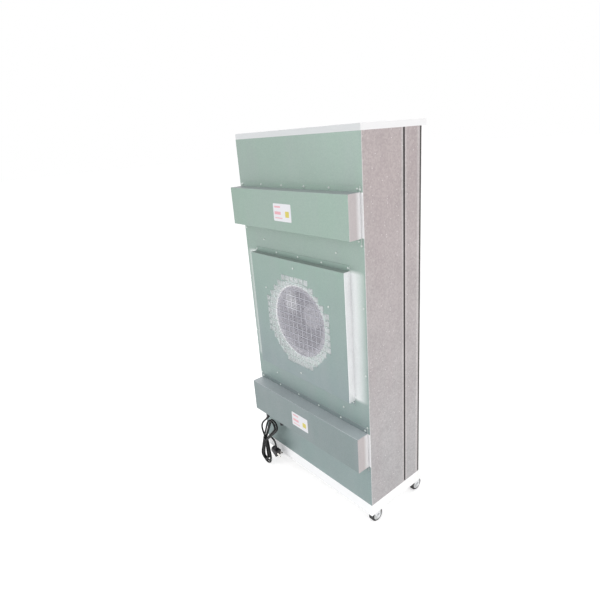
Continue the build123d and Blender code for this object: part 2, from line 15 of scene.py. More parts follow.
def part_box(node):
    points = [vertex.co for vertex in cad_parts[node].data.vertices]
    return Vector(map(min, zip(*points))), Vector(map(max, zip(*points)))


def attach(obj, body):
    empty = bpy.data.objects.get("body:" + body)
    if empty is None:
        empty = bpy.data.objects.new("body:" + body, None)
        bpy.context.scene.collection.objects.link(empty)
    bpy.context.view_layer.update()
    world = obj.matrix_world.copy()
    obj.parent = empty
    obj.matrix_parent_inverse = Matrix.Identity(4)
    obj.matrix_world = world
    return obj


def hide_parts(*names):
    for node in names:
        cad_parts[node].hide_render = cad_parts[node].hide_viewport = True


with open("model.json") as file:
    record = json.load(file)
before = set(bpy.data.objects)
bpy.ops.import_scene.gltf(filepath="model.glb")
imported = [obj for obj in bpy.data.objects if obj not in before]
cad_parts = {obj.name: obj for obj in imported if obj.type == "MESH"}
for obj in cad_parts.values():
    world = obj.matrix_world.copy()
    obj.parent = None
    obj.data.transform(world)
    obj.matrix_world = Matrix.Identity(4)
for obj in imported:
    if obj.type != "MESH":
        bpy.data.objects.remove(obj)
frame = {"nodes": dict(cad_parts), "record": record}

LOG = logging.getLogger("fan_filter_unit")
Material = bpy.types.Material
Node = bpy.types.Node
Socket = bpy.types.NodeSocket
Shape = bmesh.types.BMesh
Pair = tuple[float, float]
Spot = tuple[float, float, float]
Colour = tuple[float, float, float]
Four = tuple[float, float, float, float]

MM = 0.001
UNIT = "unit"
SHARP_ANGLE = math.radians(35)
UPRIGHT = Matrix.Rotation(math.radians(90), 4, "X")


# ---- small tools -----------------------------------------


def low_corner(node: str) -> Vector:
    """Lowest corner of a CAD node at rest, in metres."""
    return Vector(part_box(node)[0])


def high_corner(node: str) -> Vector:
    """Highest corner of a CAD node at rest, in metres."""
    return Vector(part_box(node)[1])


def middle(node: str) -> Vector:
    """Middle of a CAD node's box at rest, in metres."""
    return (low_corner(node) + high_corner(node)) / 2


def placed(name: str, data: bpy.types.ID) -> bpy.types.Object:
    """Put a new object into the scene.

    Args:
        name: The object's name.
        data: Its mesh, curve, lamp or camera.

    Returns:
        The new object, at the origin.
    """
    thing = bpy.data.objects.new(name, data)
    bpy.context.scene.collection.objects.link(thing)
    return thing


def finished_piece(
    bm: Shape, name: str, material: Material, smooth: bool = True
) -> bpy.types.Object:
    """Turn a bmesh into a finished piece that rides on the unit.

    Args:
        bm: The shape, already in its place in the unit's frame. It is freed.
        name: The piece's name.
        material: The finish that it shows.
        smooth: Whether its faces are shaded smooth, with edges above SHARP_ANGLE kept sharp.

    Returns:
        The new object, at the origin.
    """
    mesh = bpy.data.meshes.new(name)
    bm.normal_update()
    bm.to_mesh(mesh)
    bm.free()
    for polygon in mesh.polygons:
        polygon.use_smooth = smooth
    if smooth:
        mesh.set_sharp_from_angle(angle=SHARP_ANGLE)
    mesh.materials.append(material)
    piece = placed(name, mesh)
    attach(piece, UNIT)
    LOG.info("piece %s: %d faces", name, len(mesh.polygons))
    return piece


def spun(profile: Iterable[Pair], steps: int = 24) -> Shape:
    """Spin an open profile, which starts and ends on the axis, all the way round Z.

    Args:
        profile: Points as (radius, height), in metres.
        steps: How many steps make a full turn.

    Returns:
        A closed shape with its normals pointing outwards.
    """
    bm = bmesh.new()
    points = [bm.verts.new((radius, 0.0, height)) for radius, height in profile]
    edges = [bm.edges.new(pair) for pair in zip(points, points[1:])]
    bmesh.ops.spin(
        bm, geom=points + edges, cent=(0, 0, 0), axis=(0, 0, 1), angle=math.tau, steps=steps, use_merge=True
    )
    bmesh.ops.remove_doubles(bm, verts=bm.verts, dist=1e-6)
    bmesh.ops.recalc_face_normals(bm, faces=bm.faces)
    return bm


def stamped(source: Shape, places: Iterable[Matrix]) -> Shape:
    """Repeat one small shape at several places.

    Args:
        source: The shape, at the origin. It is freed.
        places: Where each copy goes.

    Returns:
        One bmesh with every copy.
    """
    pattern = bpy.data.meshes.new("pattern")
    source.to_mesh(pattern)
    source.free()
    result = bmesh.new()
    for place in places:
        start = len(result.verts)
        result.from_mesh(pattern)
        result.verts.ensure_lookup_table()
        bmesh.ops.transform(result, matrix=place, verts=result.verts[start:])
    bpy.data.meshes.remove(pattern)
    return result


# ---- shader groups ---------------------------------------


class Bench:
    """A node tree with short calls for adding and joining its nodes."""

    def __init__(self, tree: bpy.types.NodeTree) -> None:
        """Work on this tree."""
        self.tree = tree

    def add(self, kind: str, **settings: object) -> Node:
        """Add a node.

        Args:
            kind: The node's Blender type.
            settings: Its properties by name.

        Returns:
            The new node.
        """
        node = self.tree.nodes.new(kind)
        for name, value in settings.items():
            setattr(node, name, value)
        return node

    def join(self, start: Socket, end: Socket) -> None:
        """Link an output to an input."""
        self.tree.links.new(start, end)

    def math(self, operation: str, first: object, second: object = 0.0) -> Socket:
        """Add a math node.

        Args:
            operation: The node's operation.
            first: A socket or a number.
            second: A socket or a number.

        Returns:
            Its output.
        """
        node = self.add("ShaderNodeMath", operation=operation)
        for socket, value in zip(node.inputs, (first, second)):
            self.feed(socket, value)
        return node.outputs[0]

    def feed(self, socket: Socket, value: object) -> None:
        """Join a socket to another one, or give it a plain value."""
        if isinstance(value, Socket):
            self.join(value, socket)
        else:
            socket.default_value = value

    def place(self) -> Socket:
        """The object coordinates, which ride with a piece at every pose."""
        return self.add("ShaderNodeTexCoord").outputs["Object"]

    def split(self, vector: Socket) -> Node:
        """Take a vector apart into X, Y and Z."""
        node = self.add("ShaderNodeSeparateXYZ")
        self.join(vector, node.inputs["Vector"])
        return node

    def noise(self, place: Socket, scale: object, detail: float) -> Socket:
        """Add a noise texture.

        Args:
            place: Where it is read.
            scale: A socket or a number.
            detail: Its detail.

        Returns:
            Its strength.
        """
        node = self.add("ShaderNodeTexNoise")
        self.join(place, node.inputs["Vector"])
        self.feed(node.inputs["Scale"], scale)
        node.inputs["Detail"].default_value = detail
        return node.outputs["Fac"]

    def cells(
        self, place: Socket, scale: Socket
    ) -> tuple[Socket, Node]:
        """Add a pattern of random cells.

        Args:
            place: Where it is read.
            scale: How many cells fill a metre.

        Returns:
            The distance from a cell's middle, and a node with three random values for each cell.
        """
        node = self.add("ShaderNodeTexVoronoi", feature="F1")
        self.join(place, node.inputs["Vector"])
        self.join(scale, node.inputs["Scale"])
        chance = self.add("ShaderNodeSeparateColor")
        self.join(node.outputs["Color"], chance.inputs["Color"])
        return node.outputs["Distance"], chance

    def spread(
        self, value: object, low: float, high: float, out_low: float, out_high: float
    ) -> Socket:
        """Map a value from one range to another, with both ends held.

        Args:
            value: The socket to map.
            low: Start of the range that comes in.
            high: End of the range that comes in.
            out_low: Start of the range that goes out.
            out_high: End of the range that goes out.

        Returns:
            The mapped output.
        """
        node = self.add("ShaderNodeMapRange")
        for name, number in (("From Min", low), ("From Max", high), ("To Min", out_low), ("To Max", out_high)):
            node.inputs[name].default_value = number
        self.feed(node.inputs["Value"], value)
        return node.outputs["Result"]

    def blend(self, factor: object, first: object, second: object, mode: str = "MIX") -> Socket:
        """Mix two colours.

        Args:
            factor: How much of the second shows.
            first: A socket or a colour.
            second: A socket or a colour.
            mode: The blend type.

        Returns:
            The mixed colour.
        """
        node = self.add("ShaderNodeMix", data_type="RGBA", blend_type=mode)
        self.feed(node.inputs["Factor"], factor)
        self.feed(node.inputs["A"], first)
        self.feed(node.inputs["B"], second)
        return node.outputs["Result"]


def shader_group(
    name: str, inputs: dict[str, float], outputs: dict[str, str]
) -> tuple[bpy.types.NodeTree, Bench, Node, Node]:
    """Start a shader node group.

    Args:
        name: The group's name.
        inputs: Each number that goes in, with its first value.
        outputs: Each socket that comes out, with its socket type.

    Returns:
        The group, a bench on it, its input node and its output node.
    """
    tree = bpy.data.node_groups.new(name, "ShaderNodeTree")
    for label, value in inputs.items():
        socket = tree.interface.new_socket(label, in_out="INPUT", socket_type="NodeSocketFloat")
        socket.default_value = value
    for label, kind in outputs.items():
        tree.interface.new_socket(label, in_out="OUTPUT", socket_type=kind)
    bench = Bench(tree)
    return tree, bench, bench.add("NodeGroupInput"), bench.add("NodeGroupOutput")


def spangle_group() -> bpy.types.NodeTree:
    """The crystal grain of zinc coated sheet.

    Returns:
        A group that puts out a tone from 0 to 1, a mask of bright flecks and a height.
    """
    outputs = {"Tone": "NodeSocketFloat", "Fleck": "NodeSocketFloat", "Height": "NodeSocketFloat"}
    tree, bench, inner, outer = shader_group("zinc_spangle", {"Grain": 260.0, "Fleck Scale": 95.0}, outputs)
    crystal_share, cloud_share = 0.45, 0.55
    place = bench.place()
    _, tint = bench.cells(place, inner.outputs["Grain"])
    cloud = bench.noise(place, 9.0, 3.0)
    tone = bench.math("ADD", bench.math("MULTIPLY", tint.outputs["Red"], crystal_share),
                      bench.math("MULTIPLY", cloud, cloud_share))
    bench.join(tone, outer.inputs["Tone"])
    away, chance = bench.cells(place, inner.outputs["Fleck Scale"])
    dot = bench.spread(away, 0.10, 0.26, 1.0, 0.0)
    chosen = bench.spread(chance.outputs["Green"], 0.86, 0.93, 0.0, 1.0)
    bench.join(bench.math("MULTIPLY", dot, chosen), outer.inputs["Fleck"])
    bench.join(tint.outputs["Blue"], outer.inputs["Height"])
    return tree


def fine_grain_group() -> bpy.types.NodeTree:
    """The fine waviness of paint, rubber and moulded plastic.

    Returns:
        A group that puts out a height and a slow change of tone from 0 to 1.
    """
    outputs = {"Height": "NodeSocketFloat", "Tone": "NodeSocketFloat"}
    tree, bench, inner, outer = shader_group("fine_grain", {"Scale": 600.0, "Patch Scale": 6.0}, outputs)
    place = bench.place()
    for scale, result in (("Scale", "Height"), ("Patch Scale", "Tone")):
        bench.join(bench.noise(place, inner.outputs[scale], 2.0), outer.inputs[result])
    return tree


def dust_group() -> bpy.types.NodeTree:
    """Where dust and handling marks gather: a soft mask of upright streaks.

    Returns:
        A group that puts out a mask from 0 to 1.
    """
    tree, bench, inner, outer = shader_group("handling_marks", {"Amount": 0.3}, {"Mask": "NodeSocketFloat"})
    stretch = bench.add("ShaderNodeMapping")
    stretch.inputs["Scale"].default_value = (14.0, 14.0, 3.5)
    bench.join(bench.place(), stretch.inputs["Vector"])
    streak = bench.noise(stretch.outputs["Vector"], 1.0, 5.0)
    patch = bench.spread(streak, 0.42, 0.75, 0.0, 1.0)
    bench.join(bench.math("MULTIPLY", patch, inner.outputs["Amount"]), outer.inputs["Mask"])
    return tree


@dataclass
class ShaderGroups:
    """The effects that more than one finish shares, each built once."""

    spangle: bpy.types.NodeTree = field(default_factory=spangle_group)
    grain: bpy.types.NodeTree = field(default_factory=fine_grain_group)
    marks: bpy.types.NodeTree = field(default_factory=dust_group)


# ---- finishes --------------------------------------------

def opaque(colour: Colour) -> Four:
    """A colour with full alpha."""
    return (*colour, 1.0)


def shaded(colour: Colour, factor: float) -> Four:
    """A colour made darker or lighter by a factor, with full alpha."""
    return opaque(tuple(min(1.0, value * factor) for value in colour))


@dataclass(frozen=True)
class Finish:
    """A plain finish: one colour with a fine grain and a slow change of tone, with painted light and shade on
    the faces that look to the sides, upwards or to the intake where tones are given for them.
    """

    name: str
    colour: Colour
    roughness: float = 0.5
    metallic: float = 0.0
    grain_scale: float = 600.0
    grain_depth: float = 0.02
    tone_range: float = 0.06
    mark_amount: float = 0.0
    mark_colour: Colour = (0.30, 0.29, 0.27)
    specular: float = 0.5
    # Painted light and shade: the tones of faces that look to the sides, upwards and towards the intake.
    painted_end_shading: Colour | None = None
    painted_top_shading: Colour | None = None
    painted_intake_shading: Colour | None = None

    def start(self) -> tuple[Material, Bench, Node]:
        """Make the empty material.

        Returns:
            The material, a bench on its nodes and its Principled shader.
        """
        material = bpy.data.materials.new(self.name)
        material.use_nodes = True
        material.diffuse_color = opaque(self.colour)
        bench = Bench(material.node_tree)
        shader = material.node_tree.nodes["Principled BSDF"]
        shader.inputs["Metallic"].default_value = self.metallic
        shader.inputs["Specular IOR Level"].default_value = self.specular
        return material, bench, shader

    def group(self, bench: Bench, tree: bpy.types.NodeTree, **values: float) -> Node:
        """Place a shader group.

        Args:
            bench: The material's bench.
            tree: The group.
            values: The group's own numbers, by name with spaces as underscores.

        Returns:
            The group's node.
        """
        node = bench.add("ShaderNodeGroup", node_tree=tree)
        for label, value in values.items():
            node.inputs[label.replace("_", " ")].default_value = value
        return node

    def shaded_by_facing(self, bench: Bench, colour: Socket) -> Socket:
        """Paint light and shade by the way a face looks: the faces that look to the sides, upwards or to the
        intake get their own painted tones.

        Args:
            bench: The material's bench.
            colour: The finish's colour so far.

        Returns:
            The colour by direction.
        """
        if not (self.painted_end_shading or self.painted_top_shading or self.painted_intake_shading):
            return colour
        looks = bench.split(bench.add("ShaderNodeTexCoord").outputs["Normal"])
        ways = (
            (bench.math("ABSOLUTE", looks.outputs["X"]), self.painted_end_shading),
            (looks.outputs["Z"], self.painted_top_shading),
            (bench.math("MULTIPLY", looks.outputs["Y"], -1.0), self.painted_intake_shading),
        )
        for way, tone in ways:
            if tone:
                colour = bench.blend(bench.spread(way, 0.55, 0.8, 0.0, 1.0), colour, opaque(tone))
        return colour

    def relief(self, bench: Bench, height: Socket, shader: Node) -> None:
        """Join a height to the shader's normal through a bump.

        Args:
            bench: The material's bench.
            height: The height.
            shader: The Principled shader.
        """
        bump = bench.add("ShaderNodeBump")
        bump.inputs["Strength"].default_value = 0.35
        bump.inputs["Distance"].default_value = self.grain_depth * MM
        bench.join(height, bump.inputs["Height"])
        bench.join(bump.outputs["Normal"], shader.inputs["Normal"])

    def build(self, groups: ShaderGroups) -> Material:
        """Make the material.

        Args:
            groups: The shared effects.

        Returns:
            The material.
        """
        material, bench, shader = self.start()
        grain = self.group(bench, groups.grain, Scale=self.grain_scale)
        dark, light = (shaded(self.colour, 1 + change) for change in (-self.tone_range, self.tone_range))
        colour = self.shaded_by_facing(bench, bench.blend(grain.outputs["Tone"], dark, light))
        if self.mark_amount:
            marks = self.group(bench, groups.marks, Amount=self.mark_amount)
            colour = bench.blend(marks.outputs["Mask"], colour, opaque(self.mark_colour))
        bench.join(colour, shader.inputs["Base Color"])
        rough = bench.spread(grain.outputs["Tone"], 0.0, 1.0, self.roughness - 0.05, self.roughness + 0.05)
        bench.join(rough, shader.inputs["Roughness"])
        self.relief(bench, grain.outputs["Height"], shader)
        return material


@dataclass(frozen=True)
class Glow:
    """A soft patch of painted light or shade on a sheet, given as two opposite corners in metres."""

    low: Spot
    high: Spot
    soft: Spot
    colour: Colour
    amount: float = 1.0

    def mask(self, bench: Bench, place: Node) -> Socket:
        """How much of the patch shows. It is the same on the left and on the right.

        Args:
            bench: The material's bench.
            place: The node that splits the object coordinates.

        Returns:
            The mask, from 0 to the patch's amount.
        """
        mask = bench.math("ADD", self.amount)
        axes = (bench.math("ABSOLUTE", place.outputs["X"]), place.outputs["Y"], place.outputs["Z"])
        for axis, low, high, soft in zip(axes, self.low, self.high, self.soft):
            mask = bench.math("MULTIPLY", mask, bench.spread(axis, low - soft, low, 0.0, 1.0))
            mask = bench.math("MULTIPLY", mask, bench.spread(axis, high, high + soft, 1.0, 0.0))
        return mask


@dataclass(frozen=True)
class Disc:
    """A round patch of another tone on the intake side, mostly painted light and shade seen through the grille,
    with its middle as X and Z in metres.
    """

    middle_point: Pair
    radius: float
    colour: Colour
    soft: float = 4.0 * MM
    amount: float = 1.0

    def mask(self, bench: Bench, place: Node) -> Socket:
        """How much of the patch shows, with the same arguments and result as a glow's mask."""
        across, rise = (
            bench.math("SUBTRACT", place.outputs[axis], centre)
            for axis, centre in zip("XZ", self.middle_point)
        )
        square = bench.math("ADD", bench.math("MULTIPLY", across, across), bench.math("MULTIPLY", rise, rise))
        away = bench.math("SQRT", square)
        return bench.spread(away, self.radius, self.radius + self.soft, self.amount, 0.0)


@dataclass(frozen=True)
class ZincSheet(Finish):
    """Zinc coated sheet: crystal grain, bright flecks, a slow change from top to bottom and patches of painted
    light and shade.
    """

    low_colour: Colour = (0.3, 0.3, 0.3)
    fleck_colour: Colour = (0.8, 0.8, 0.8)
    fleck_amount: float = 0.5
    fleck_scale: float = 95.0
    grain: float = 260.0
    low_z: float = 0.25
    high_z: float = 1.15
    discs: tuple[Disc, ...] = ()
    glows: tuple[Glow, ...] = ()

    def patched(
        self, bench: Bench, place: Node, colour: Socket,
        patches: Iterable[Glow | Disc],
    ) -> Socket:
        """Add patches of another tone, most of them painted light and shade.

        Args:
            bench: The material's bench.
            place: The node that splits the object coordinates.
            colour: The sheet's colour so far.
            patches: The patches, the lowest first.

        Returns:
            The colour with its patches.
        """
        for patch in patches:
            colour = bench.blend(patch.mask(bench, place), colour, opaque(patch.colour))
        return colour

    def build(self, groups: ShaderGroups) -> Material:
        """Make the material, with the same arguments and result as a plain finish."""
        material, bench, shader = self.start()
        place = bench.split(bench.place())
        rise = bench.spread(place.outputs["Z"], self.low_z, self.high_z, 0.0, 1.0)
        base = bench.blend(rise, opaque(self.low_colour), opaque(self.colour))
        base = self.shaded_by_facing(bench, self.patched(bench, place, base, self.discs))
        base = self.patched(bench, place, base, self.glows)
        spangle = self.group(bench, groups.spangle, Grain=self.grain, Fleck_Scale=self.fleck_scale)
        shade = bench.spread(spangle.outputs["Tone"], 0.2, 0.8, 1 - self.tone_range, 1 + self.tone_range)
        grey = bench.add("ShaderNodeCombineColor")
        for channel in ("Red", "Green", "Blue"):
            bench.join(shade, grey.inputs[channel])
        toned = bench.blend(1.0, base, grey.outputs["Color"], "MULTIPLY")
        marks = self.group(bench, groups.marks, Amount=self.mark_amount)
        marked = bench.blend(marks.outputs["Mask"], toned, opaque(self.mark_colour))
        fleck = bench.math("MULTIPLY", spangle.outputs["Fleck"], self.fleck_amount)
        bench.join(bench.blend(fleck, marked, opaque(self.fleck_colour)), shader.inputs["Base Color"])
        rough = bench.spread(spangle.outputs["Tone"], 0.0, 1.0, self.roughness + 0.07, self.roughness - 0.07)
        bench.join(rough, shader.inputs["Roughness"])
        self.relief(bench, spangle.outputs["Height"], shader)
        return material


@dataclass(frozen=True)
class PleatedPaper(Finish):
    """Filter paper, with pale glue beads across its folds."""

    bead_pitch: float = 28.0 * MM
    bead_colour: Colour = (0.95, 0.95, 0.93)
    fold_tone: float = 0.93

    def build(self, groups: ShaderGroups) -> Material:
        """Make the material, with the same arguments and result as a plain finish."""
        material, bench, shader = self.start()
        place = bench.split(bench.place())
        wave = bench.math("SINE", bench.math("MULTIPLY", place.outputs["X"], math.tau / self.bead_pitch))
        bead = bench.spread(wave, 0.93, 0.99, 0.0, 1.0)
        grain = self.group(bench, groups.grain, Scale=self.grain_scale)
        dark = shaded(self.colour, self.fold_tone)
        toned = bench.blend(grain.outputs["Tone"], dark, opaque(self.colour))
        bench.join(bench.blend(bead, toned, opaque(self.bead_colour)), shader.inputs["Base Color"])
        shader.inputs["Roughness"].default_value = self.roughness
        self.relief(bench, grain.outputs["Height"], shader)
        return material


WHITE: Colour = (0.94, 0.94, 0.935)


@dataclass(frozen=True)
class GreenReflectionZinc(ZincSheet):
    """The zinc coated sheet of the intake side, whose green tint is a painted reflection of green surroundings.
    """

    roughness: float = 0.44
    metallic: float = 0.45
    grain_depth: float = 0.03
    tone_range: float = 0.05
    mark_amount: float = 0.22
    mark_colour: Colour = (0.33, 0.33, 0.36)
    fleck_colour: Colour = (0.62, 0.70, 0.67)
    fleck_amount: float = 0.25
    grain: float = 420.0


@dataclass(frozen=True)
class WhitePaint(Finish):
    """The white powder coat of the stand."""

    colour: Colour = WHITE
    roughness: float = 0.38
    grain_scale: float = 900.0
    tone_range: float = 0.015
    mark_amount: float = 0.04
    mark_colour: Colour = (0.66, 0.65, 0.62)


# Painted reflection and shade in the zinc colours: the intake side's green and the side walls' warm pink are
# painted reflections on grey zinc, and the sheets are painted darker and greyer towards the bottom, the lower
# box darker than the upper.
PANEL_TOP: Colour = (0.275, 0.358, 0.316)
PANEL_LOW: Colour = (0.225, 0.293, 0.289)
BOX_TOP: Colour = (0.274, 0.367, 0.318)
BOX_LOW: Colour = (0.196, 0.243, 0.244)
COVER_TOP: Colour = (0.253, 0.348, 0.304)
COVER_LOW: Colour = (0.218, 0.272, 0.281)
# Painted light on the boxes' end faces.
PAINTED_BOX_END_LIGHT: Colour = (0.447, 0.408, 0.408)
WALL_TOP: Colour = (0.405, 0.353, 0.353)
WALL_LOW: Colour = (0.398, 0.384, 0.390)
PAINTED_REFLECTION_PALE: Colour = (0.92, 0.92, 0.93)
PAINTED_REFLECTION_STRIP: Colour = (0.90, 0.895, 0.91)
SHADOW_LINE: Colour = (0.085, 0.070, 0.072)
PAINTED_EDGE_HIGHLIGHT: Colour = (0.52, 0.49, 0.49)

# Painted reflections on the panel: a soft white band on each side of the intake cover and white strips beside
# the box ends.
PANEL_GLOWS: tuple[Glow, ...] = (
    Glow((0.225, -1.0, 0.488), (0.242, 1.0, 0.892), (0.046, 1.0, 0.012), PAINTED_REFLECTION_PALE, 0.74),
    Glow((0.281, -1.0, 1.000), (0.300, 1.0, 1.120), (0.002, 1.0, 0.002), PAINTED_REFLECTION_STRIP, 0.95),
    Glow((0.281, -1.0, 0.255), (0.300, 1.0, 0.375), (0.002, 1.0, 0.002), PAINTED_REFLECTION_STRIP, 0.95),
)
# Painted light on the rear of the box ends and a painted highlight along the front fold of their flange.
BOX_GLOWS: tuple[Glow, ...] = (
    Glow((0.2795, -0.126, 0.0), (0.300, -0.119, 2.0), (0.0003, 0.014, 0.1), (0.67, 0.665, 0.67), 0.95),
    Glow((0.2795, -0.1716, 0.0), (0.300, -0.1690, 2.0), (0.0003, 0.0008, 0.1), (0.58, 0.56, 0.55), 0.8),
)
# Painted light and shade on the side walls: a painted highlight along the bend at the intake corner, painted
# highlights at the fold edges beside each gasket, and painted shadow lines that widen each gasket.
WALL_GLOWS: tuple[Glow, ...] = (
    Glow((0.0, -0.1190, 0.0), (1.0, -0.1172, 2.0), (0.1, 0.0015, 0.1), (0.66, 0.66, 0.66), 0.8),
    Glow((0.2, 0.0420, 0.0), (1.0, 0.0620, 2.0), (0.1, 0.002, 0.1), PAINTED_EDGE_HIGHLIGHT, 0.7),
    Glow((0.2, 0.0478, 0.0), (1.0, 0.0562, 2.0), (0.1, 0.0003, 0.1), SHADOW_LINE, 0.95),
    Glow((0.2, 0.1130, 0.0), (1.0, 0.1255, 2.0), (0.1, 0.002, 0.1), PAINTED_EDGE_HIGHLIGHT, 0.7),
    Glow((0.2, 0.1225, 0.0), (1.0, 0.1300, 2.0), (0.1, 0.0003, 0.1), SHADOW_LINE, 0.95),
)

# Painted light and shade on the grille, shifted off the middle as seen from one side: a lighter tone for the
# bars of the field, a painted highlight crescent on the inlet ring's lip, a painted dark core where the inside
# lies in shade, and a painted light patch where the lit hub shows through.
COVER_DISCS: tuple[Disc, ...] = (
    Disc((0.000, 0.681), 0.148, (0.46, 0.53, 0.51)),
    Disc((0.009, 0.694), 0.123, (0.76, 0.77, 0.80), 2.0 * MM),
    Disc((0.014, 0.694), 0.121, (0.36, 0.36, 0.40), 2.0 * MM),
    Disc((-0.024, 0.756), 0.020, (0.60, 0.60, 0.64), 22.0 * MM, 0.8),
)
# The same painted highlight crescent, painted dark core and painted light patch on the perforated plates.
PLATE_DISCS: tuple[Disc, ...] = (
    Disc((0.009, 0.694), 0.123, (0.95, 0.95, 0.97), 2.0 * MM),
    Disc((0.014, 0.694), 0.121, (0.44, 0.43, 0.48), 2.0 * MM),
    Disc((-0.024, 0.756), 0.020, (0.72, 0.72, 0.76), 22.0 * MM, 0.8),
)

FINISHES: tuple[Finish, ...] = (
    # Where a finish gives end, top or intake tones, these are painted light and shade; its discs and glows are
    # mostly painted highlights, reflections and shade.
    GreenReflectionZinc("panel_zinc", PANEL_TOP, low_colour=PANEL_LOW, high_z=0.98, glows=PANEL_GLOWS),
    GreenReflectionZinc("cover_zinc", COVER_TOP, low_colour=COVER_LOW, low_z=0.45, high_z=0.92,
              painted_end_shading=(0.86, 0.86, 0.87), painted_top_shading=(0.31, 0.345, 0.335), discs=COVER_DISCS),
    ZincSheet("perforated_zinc", (0.70, 0.755, 0.755), 0.40, 0.2, grain_depth=0.02, tone_range=0.03,
              low_colour=(0.70, 0.745, 0.755), fleck_amount=0.1, grain=420.0, discs=PLATE_DISCS),
    # The upper and lower box are the same sheet, the lower one painted darker: painted shade.
    GreenReflectionZinc("upper_box_zinc", BOX_TOP, low_colour=BOX_TOP, painted_end_shading=PAINTED_BOX_END_LIGHT,
              painted_top_shading=(0.31, 0.335, 0.345), glows=BOX_GLOWS),
    GreenReflectionZinc("lower_box_zinc", BOX_LOW, low_colour=BOX_LOW, painted_end_shading=PAINTED_BOX_END_LIGHT,
              painted_top_shading=(0.48, 0.52, 0.54), glows=BOX_GLOWS),
    ZincSheet("side_zinc", WALL_TOP, 0.48, 0.40, grain_depth=0.05, tone_range=0.13,
              low_colour=WALL_LOW, fleck_colour=(0.84, 0.83, 0.83), fleck_amount=0.85, fleck_scale=150.0,
              grain=200.0, mark_amount=0.30, mark_colour=(0.38, 0.32, 0.33), glows=WALL_GLOWS),
    ZincSheet("bright_zinc", (0.88, 0.88, 0.89), 0.34, 0.2, grain_depth=0.03, tone_range=0.06,
              low_colour=(0.87, 0.87, 0.88), fleck_colour=(0.95, 0.95, 0.95), fleck_amount=0.3,
              grain=300.0, mark_amount=0.05),
    WhitePaint("white_paint"),
    # The cap's ends, top and intake face and the base's intake face carry painted shade.
    WhitePaint("cap_paint", mark_amount=0.0, painted_end_shading=(0.80, 0.795, 0.80),
               painted_top_shading=(0.80, 0.80, 0.805), painted_intake_shading=(0.585, 0.60, 0.61)),
    WhitePaint("base_paint", painted_intake_shading=(0.89, 0.895, 0.905)),
    Finish("black_seal", (0.018, 0.017, 0.017), 0.85, grain_scale=1500.0, grain_depth=0.15, tone_range=0.25),
    PleatedPaper("filter_paper", (0.80, 0.80, 0.76), 0.9, grain_scale=1400.0, grain_depth=0.05),
    Finish("impeller_metal", (0.42, 0.42, 0.45), 0.42, 0.5, tone_range=0.12, mark_amount=0.1),
    Finish("motor_metal", (0.80, 0.80, 0.82), 0.45, 0.2, tone_range=0.08, mark_amount=0.1),
    Finish("plated_steel", (0.66, 0.67, 0.68), 0.24, 0.95, tone_range=0.06, mark_amount=0.08),
    Finish("screw_zinc", (0.52, 0.57, 0.55), 0.40, 0.5, tone_range=0.06, mark_amount=0.08),
    Finish("hub_plastic", (0.66, 0.67, 0.67), 0.42, tone_range=0.03, mark_amount=0.06),
    Finish("tyre_rubber", (0.015, 0.015, 0.016), 0.62, grain_scale=900.0, grain_depth=0.08, tone_range=0.2,
           mark_amount=0.15, mark_colour=(0.10, 0.095, 0.09)),
    Finish("black_plastic", (0.014, 0.013, 0.016), 0.42, grain_scale=1800.0, grain_depth=0.04, tone_range=0.15,
           specular=0.3),
    Finish("capacitor_plastic", (0.62, 0.62, 0.58), 0.5),
    Finish("cord_sheath", (0.009, 0.010, 0.010), 0.38, grain_scale=1200.0, grain_depth=0.03, tone_range=0.15,
           specular=0.2),
    Finish("pin_metal", (0.72, 0.70, 0.66), 0.22, 1.0, tone_range=0.05),
    Finish("sticker_white", (0.68, 0.68, 0.71), 0.35, tone_range=0.01),
    Finish("sticker_red", (0.68, 0.36, 0.40), 0.4, tone_range=0.02),
    Finish("sticker_yellow", (0.58, 0.50, 0.10), 0.4, tone_range=0.02),
)


NODE_FINISHES: dict[str, str] = {
    "intake_cover": "cover_zinc",
    "upper_box_cover": "upper_box_zinc",
    "lower_box_cover": "lower_box_zinc",
    "stand_base": "base_paint",
    "stand_cap": "cap_paint",
}


@dataclass
class FinishRack:
    """Every finish as a material, by name."""

    materials: dict[str, Material] = field(default_factory=dict)

    def fill(self) -> None:
        """Build each finish once."""
        groups = ShaderGroups()
        for finish in FINISHES:
            self.materials[finish.name] = finish.build(groups)

    def __getitem__(self, name: str) -> Material:
        """The material of one finish."""
        return self.materials[name]

    def dress_nodes(self) -> None:
        """Give every CAD node its finish: the one NODE_FINISHES names for it, else the one its record slot
        names.
        """
        for subpart in frame["record"]["subparts"]:
            node = frame["nodes"][subpart["node"]]
            node.data.materials.clear()
            finish = NODE_FINISHES.get(subpart["node"], subpart["material_slot"])
            node.data.materials.append(self[finish])
            LOG.info("node %s: %s", subpart["node"], finish)


class SubAssembly:
    """Pieces that belong together and are made by one call."""

    def build(self, rack: FinishRack) -> None:
        """Make the pieces and put them on the unit.

        Args:
            rack: The finishes.
        """
        raise NotImplementedError


# ---- intake side -----------------------------------------


